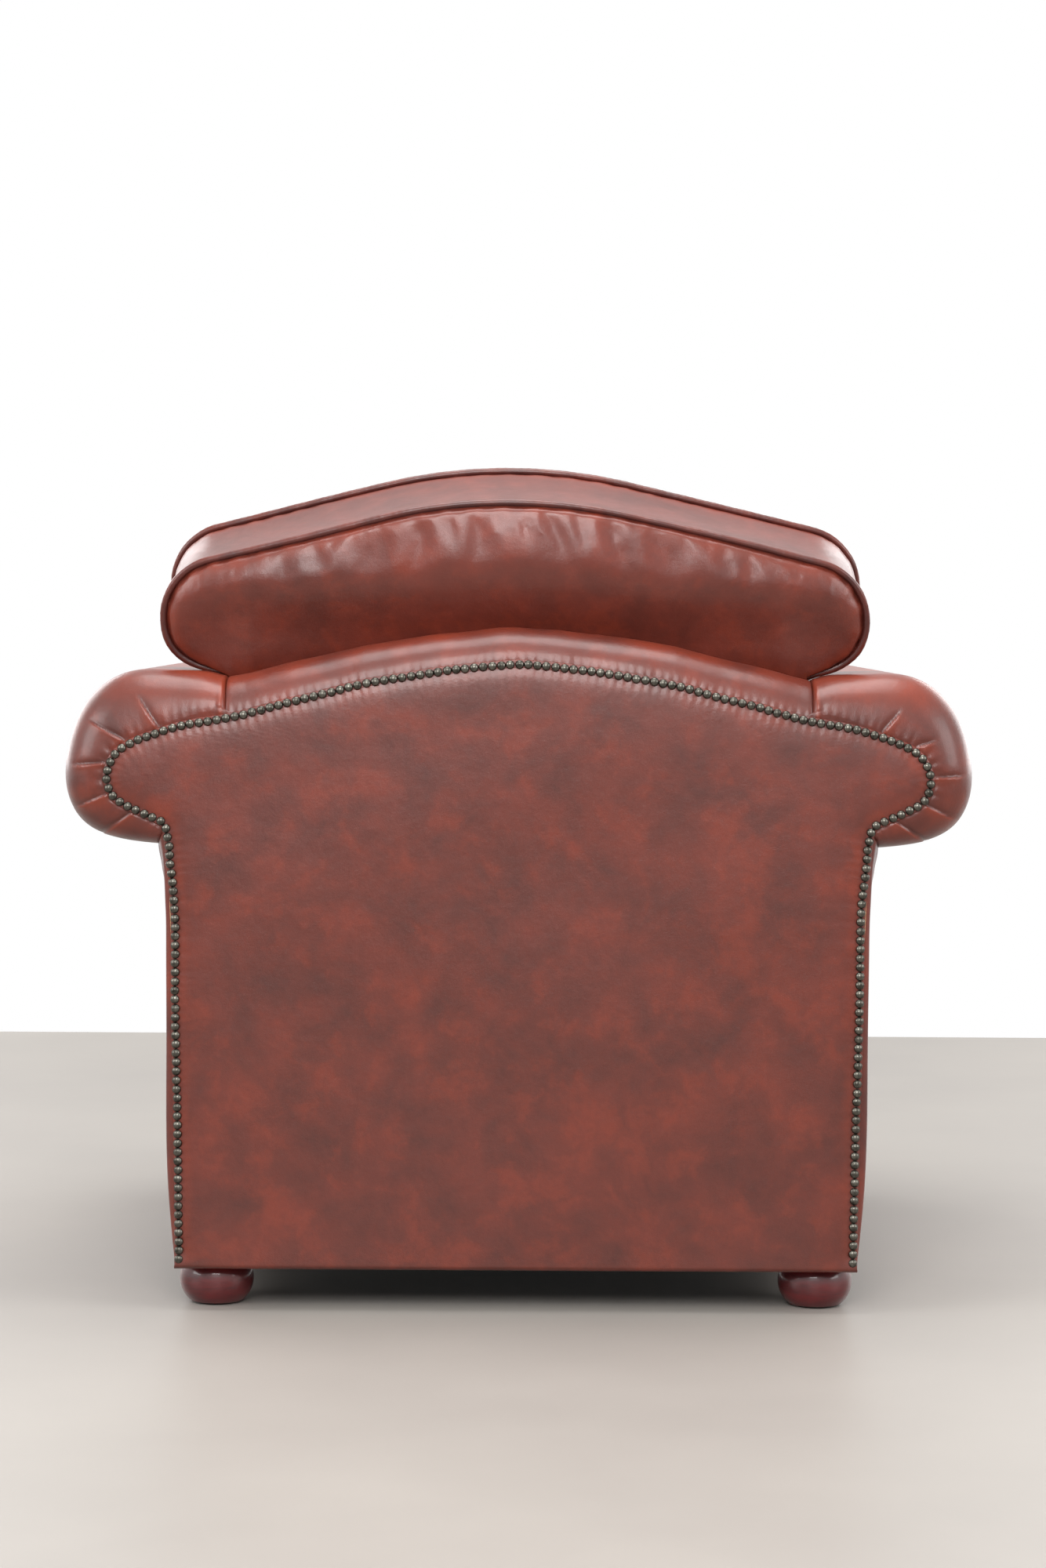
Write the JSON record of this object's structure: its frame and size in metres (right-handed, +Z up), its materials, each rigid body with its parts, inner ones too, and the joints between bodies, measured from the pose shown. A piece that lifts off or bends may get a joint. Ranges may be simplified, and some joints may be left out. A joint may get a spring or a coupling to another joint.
{
  "type": "chesterfield armchair",
  "caption": "Rolled-arm leather armchair with a camel back, nailed panels, buttoned arms, bun feet and two loose piped cushions that lift out.",
  "frame": {"origin": "on the floor, at the middle of the chair's width and depth", "axes": "+Z up, the sitter faces -Y so the outside back faces +Y, and +X is the sitter's left"},
  "size_m": [1.0516, 0.9162, 0.9821],
  "materials": {
    "oxblood_leather": "antiqued, waxed hide",
    "beech": "planed beech",
    "mahogany_stain": "stained and polished",
    "upholstery_foam": "cut foam and fibre",
    "black_cloth": "non-woven cloth",
    "jute_webbing": "woven jute",
    "antique_nail": "burnished, antiqued",
    "spring_steel": "oiled spring wire",
    "zinc_steel": "zinc plated",
    "glide_plastic": "nylon",
    "zip_tape": "woven tape with coil"
  },
  "bodies": {
    "chair_frame": {"arm_cover_left": "oxblood_leather", "arm_cover_right": "oxblood_leather", "outside_arm_left": "oxblood_leather", "outside_arm_right": "oxblood_leather", "arm_facing_left": "oxblood_leather", "arm_facing_right": "oxblood_leather", "arm_buttons_left": "oxblood_leather", "arm_buttons_right": "oxblood_leather", "back_roll": "oxblood_leather", "inside_back_pad": "oxblood_leather", "front_border": "oxblood_leather", "outside_back_panel": "oxblood_leather", "base_rail_front": "beech", "base_rail_back": "beech", "base_rail_left": "beech", "base_rail_right": "beech", "arm_top_rail_left": "beech", "arm_top_rail_right": "beech", "arm_stuffing_rail_left": "beech", "arm_stuffing_rail_right": "beech", "back_stuffing_rail": "beech", "back_rib_left": "beech", "back_rib_right": "beech", "back_top_rail": "beech", "arm_front_post_left": "beech", "arm_front_post_right": "beech", "arm_rear_board_left": "beech", "arm_rear_board_right": "beech", "frame_dowels": "beech", "corner_blocks": "beech", "foot_front_left": "mahogany_stain", "foot_front_right": "mahogany_stain", "foot_rear_left": "mahogany_stain", "foot_rear_right": "mahogany_stain", "arm_stuffing_left": "upholstery_foam", "arm_stuffing_right": "upholstery_foam", "dust_cover": "black_cloth", "seat_deck": "black_cloth", "back_webbing": "jute_webbing", "back_nails": "antique_nail", "facing_nails": "antique_nail", "seat_springs": "spring_steel", "spring_clips": "zinc_steel", "corner_block_screws": "zinc_steel", "hanger_bolts": "zinc_steel", "tee_nuts": "zinc_steel", "foot_glides": "glide_plastic"},
    "seat_cushion": {"seat_cushion_cover": "oxblood_leather", "seat_cushion_core": "upholstery_foam", "seat_cushion_piping": "oxblood_leather", "seat_zip": "zip_tape"},
    "back_cushion": {"back_cushion_cover": "oxblood_leather", "back_cushion_core": "upholstery_foam", "back_cushion_piping": "oxblood_leather", "back_cushion_buttons": "oxblood_leather", "back_zip": "zip_tape"},
    "seat_zip_pull": {"seat_zip_slider": "zinc_steel"},
    "back_zip_pull": {"back_zip_slider": "zinc_steel"}
  },
  "joints": [
    {"name": "seat_cushion_out", "type": "slide", "parent": "chair_frame", "child": "seat_cushion", "axis": [0, -1, 0], "range_m": [0, 0.72]},
    {"name": "back_cushion_lift", "type": "slide", "parent": "chair_frame", "child": "back_cushion", "axis": [0, 0, 1], "range_m": [0, 0.4]},
    {"name": "seat_zip", "type": "slide", "parent": "seat_cushion", "child": "seat_zip_pull", "axis": [-1, 0, 0], "range_m": [0, 0.29]},
    {"name": "back_zip", "type": "slide", "parent": "back_cushion", "child": "back_zip_pull", "axis": [-1, 0, 0], "range_m": [0, 0.29]}
  ]
}
